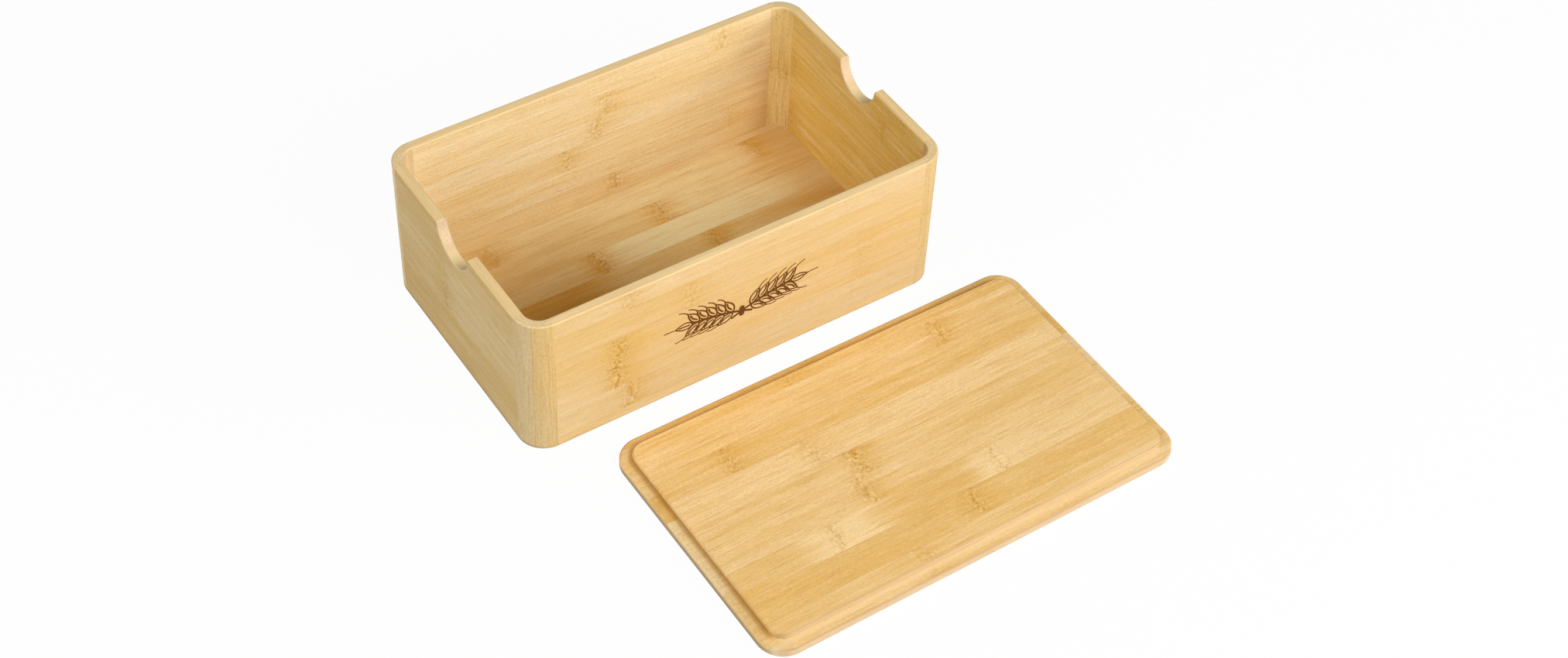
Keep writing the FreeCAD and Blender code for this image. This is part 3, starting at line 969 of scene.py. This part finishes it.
# %% A closed skin from a grid of points
def skin(name, grid, attribute=None):
    """A closed mesh from grid[station, point, xyz] in millimetres, with flat ends.

    Each quad joins neighbouring points of neighbouring stations. The last point joins the first.
    """
    count, around = grid.shape[:2]
    index = np.arange(count * around).reshape(count, around)
    beside = np.roll(index, -1, axis=1)
    quads = np.stack([index[:-1], beside[:-1], beside[1:], index[1:]], axis=-1).reshape(-1, 4)
    corners = np.concatenate([quads.ravel(), index[0][::-1], index[-1]])
    sizes = np.concatenate([np.full(len(quads), 4), [around, around]])
    mesh = bpy.data.meshes.new(name)
    mesh.vertices.add(count * around)
    mesh.vertices.foreach_set("co", (grid * MM).astype(np.float32).ravel())
    mesh.loops.add(len(corners))
    mesh.loops.foreach_set("vertex_index", corners.astype(np.int32))
    mesh.polygons.add(len(sizes))
    starts = np.concatenate([[0], np.cumsum(sizes)[:-1]])
    mesh.polygons.foreach_set("loop_start", starts.astype(np.int32))
    if attribute is not None:
        layer = mesh.attributes.new("scorched", "FLOAT", "POINT")
        layer.data.foreach_set("value", attribute.astype(np.float32).ravel())
    mesh.update(calc_edges=True)
    mesh.validate()
    mesh.shade_smooth()
    mesh.set_sharp_from_angle(angle=math.radians(35))
    piece = bpy.data.objects.new(name, mesh)
    bpy.context.scene.collection.objects.link(piece)
    print(name, len(mesh.vertices), "points,", 2 * len(quads) + 2 * around, "triangles")
    return piece


# %% Sink the motif into the face
GROOVE_DEPTH = 0.45
on_face = np.arange(len(section)) < len(heights)
grid = np.empty((len(stations), len(section), 3))
grid[..., 0] = stations[:, None]
grid[..., 1] = -HALF_WIDTH + section[None, :, 0]
grid[..., 2] = section[None, :, 1]
burn = scorch(grid[..., 0], grid[..., 2]) * on_face
grid[..., 1] += GROOVE_DEPTH * burn
front = skin("front_board_with_motif", grid[::-1], burn[::-1])

# %% Tongues on the ends of the panel
tongue_insets = np.array([1, 1, 0, 0]) * TONGUE_THICKNESS + (WALL - TONGUE_THICKNESS) / 2
tongue_heights = np.array([0.0, HEIGHT, HEIGHT, 0.0])
tongues = []
for side in (-1, 1):
    ends = np.sort([side * shoulder_x, side * (shoulder_x + TONGUE_LENGTH)])
    block = np.empty((2, 4, 3))
    block[..., 0] = ends[:, None]
    block[..., 1] = -HALF_WIDTH + tongue_insets
    block[..., 2] = tongue_heights
    tongues.append(skin(f"front_tongue_{'left' if side < 0 else 'right'}", block))


# %% The scorched finish
SCORCHED = (0.120, 0.035, 0.001, 1.0)
TOASTED = (0.450, 0.200, 0.045, 1.0)


def burnt_in(graph, point, colour, roughness, height):
    """Scorched lines: dark brown in the groove, and toasted wood along its edge."""
    attribute = graph.add("ShaderNodeAttribute", {"attribute_name": "scorched"})
    burn = graph.out(attribute, "Fac")
    colour = graph.mix(graph.step(burn, 0.02, 0.5) * 0.6, colour, TOASTED)
    colour = graph.mix(graph.step(burn, 0.25, 0.75) * 0.97, colour, SCORCHED)
    # The foot of the face gets the painted contact shadow too.
    return painted_foot_shadow(graph, point, colour, roughness + burn * 0.3, height)


look = {"edge": RIM, "grain": 1.1, "streaks": 0.8}
board = (LONG_WALL, FRONT_STOCK, front_strips)
scorched_front = finish_board("bamboo_front", *board, detail=burnt_in, **look)
plain_front = finish_board("bamboo_front_tongues", *board, **look)
front.data.materials.append(scorched_front)
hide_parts("front_panel")
for piece in tongues:
    piece.data.materials.append(plain_front)
for piece in (front, *tongues):
    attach(piece, "box")

# %% [markdown]
# ## Floor, light and camera
# A pale seamless floor, a few large soft lamps and a long lens. The floor shows white to the camera
# but still takes the object's shadow: its material blends a white glow, seen by camera, glossy and
# transmission rays only, with plain diffuse paint.

# %% The floor
FLOOR_REACH = 15.0
FLOOR_GLOW = 0.96


def white_to_the_camera(graph):
    """1 for rays from the camera and for mirror and glass rays, 0 for the rest."""
    path = graph.add("ShaderNodeLightPath")
    camera, glossy, glass = (
        graph.out(path, f"Is {kind} Ray") for kind in ("Camera", "Glossy", "Transmission")
    )
    return graph.maths("MAXIMUM", graph.maths("MAXIMUM", camera, glossy), glass)


def floor_material():
    """White paint that glows for the camera."""
    material = bpy.data.materials.new("studio_floor")
    graph = Graph(material)
    paint = graph.add("ShaderNodeBsdfDiffuse", {}, {"Color": (0.86, 0.86, 0.86, 1.0)})
    glow = graph.add("ShaderNodeEmission", {}, {"Color": (1.0, 1.0, 1.0, 1.0), "Strength": 1.0})
    share = white_to_the_camera(graph) * FLOOR_GLOW
    sockets = {0: share, 1: graph.out(paint), 2: graph.out(glow)}
    both = graph.add("ShaderNodeMixShader", {}, sockets)
    graph.add("ShaderNodeOutputMaterial", {}, {"Surface": graph.out(both)})
    return material


floor_mesh = bpy.data.meshes.new("studio_floor")
corners = [(x * FLOOR_REACH, y * FLOOR_REACH, 0.0) for x, y in ((-1, -1), (1, -1), (1, 1), (-1, 1))]
floor_mesh.from_pydata(corners, [], [(0, 1, 2, 3)])
floor_mesh.materials.append(floor_material())
studio_floor = bpy.data.objects.new("studio_floor", floor_mesh)
bpy.context.scene.collection.objects.link(studio_floor)

# %% The world
WORLD_LEVEL = 0.08

world = bpy.data.worlds.new("studio")
bpy.context.scene.world = world
sky = Graph(world)
level = white_to_the_camera(sky) * (1 - WORLD_LEVEL) + WORLD_LEVEL
background = sky.add("ShaderNodeBackground", {}, {"Color": (1, 1, 1, 1), "Strength": level})
sky.add("ShaderNodeOutputWorld", {}, {"Surface": sky.out(background)})


# %% The lamps
def softbox(name, place, aim, size, power):
    """A square area lamp that faces a point."""
    lamp = bpy.data.lights.new(name, "AREA")
    lamp.shape = "SQUARE"
    lamp.size = size
    lamp.energy = power
    holder = bpy.data.objects.new(name, lamp)
    holder.location = place
    holder.rotation_mode = "QUATERNION"
    holder.rotation_quaternion = (Vector(aim) - Vector(place)).to_track_quat("-Z", "Y")
    bpy.context.scene.collection.objects.link(holder)
    return holder


AIM = (0.03, -0.12, 0.05)
softbox("key", (0.03, -1.81, 1.46), AIM, 1.2, 28.0)
softbox("right_fill", (1.49, -1.58, 0.80), AIM, 1.2, 29.0)
softbox("left_fill", (-1.85, -0.12, 1.15), AIM, 1.2, 21.0)
softbox("back_fill", (0.03, 1.95, 0.80), AIM, 1.2, 3.0)

# %% The camera
LENS = 56.04
CAMERA_PLACE = Vector((-0.6665, -1.0758, 1.2818))
CAMERA_AIM = Vector((0.0438, -0.0913, 0.0))
CAMERA_ROLL = math.radians(3.311)

camera = bpy.data.objects.new("camera", bpy.data.cameras.new("camera"))
camera.data.lens = LENS
camera.data.sensor_width = 36.0
camera.data.sensor_fit = "HORIZONTAL"
camera.location = CAMERA_PLACE
camera.rotation_mode = "QUATERNION"
level_view = (CAMERA_AIM - CAMERA_PLACE).to_track_quat("-Z", "Y")
camera.rotation_quaternion = level_view @ Quaternion((0, 0, 1), CAMERA_ROLL)
bpy.context.scene.collection.objects.link(camera)
bpy.context.scene.camera = camera
bpy.context.scene.view_settings.view_transform = "Standard"
